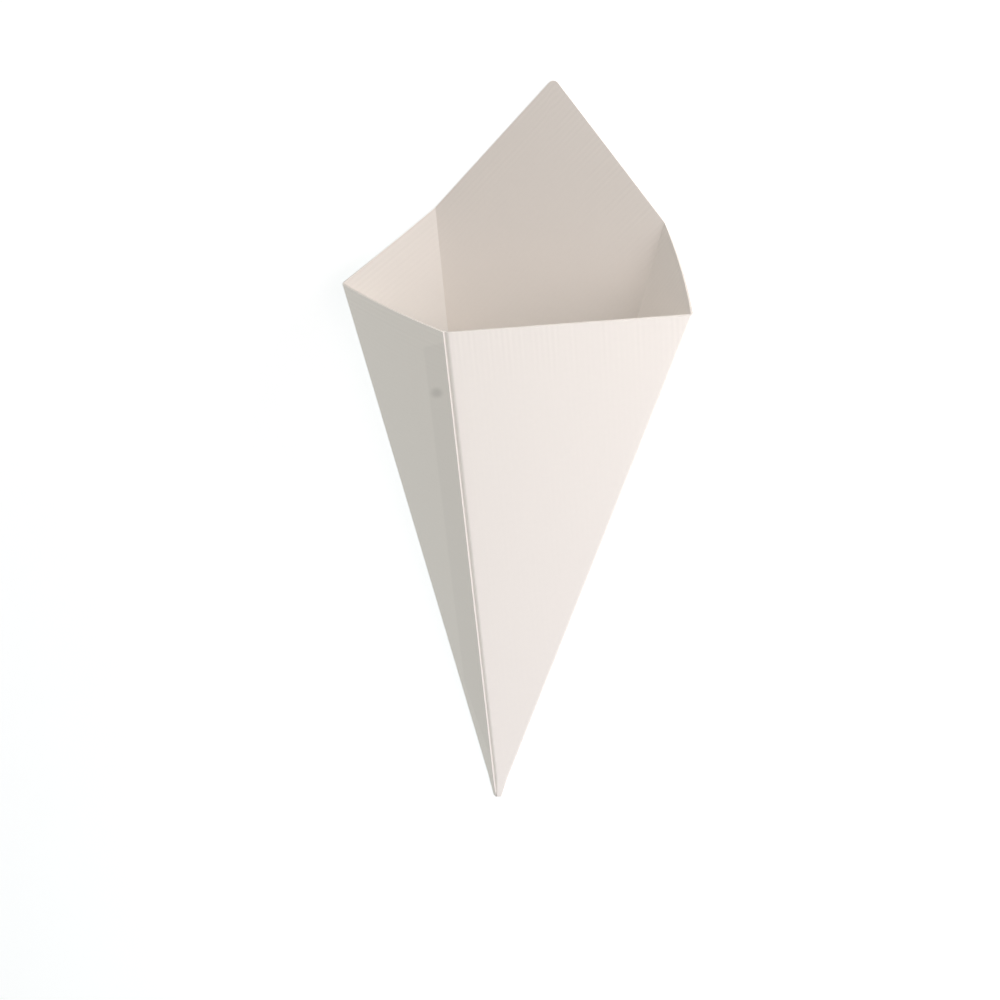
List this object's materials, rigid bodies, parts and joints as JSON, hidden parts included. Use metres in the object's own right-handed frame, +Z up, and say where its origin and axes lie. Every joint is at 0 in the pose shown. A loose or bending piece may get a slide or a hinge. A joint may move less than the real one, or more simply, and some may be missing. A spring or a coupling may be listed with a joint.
{
  "type": "paper fry cone",
  "caption": "Open fry cone: one square white card creased into flat panels and glued along its front seam, with a tall pointed back, lying on its back.",
  "frame": {"origin": "middle of the bounding box in X and Y, at the outer face of the back panel the cone lies on", "axes": "+Y from the tip to the peak, +Z up from the back panel to the glued seam, +X to the right of the seam seen from above"},
  "size_m": [0.1323, 0.2488, 0.055],
  "materials": {
    "card": "matt white fine-fluted food board"
  },
  "bodies": {
    "root": {"folded_card": "card"}
  },
  "joints": []
}
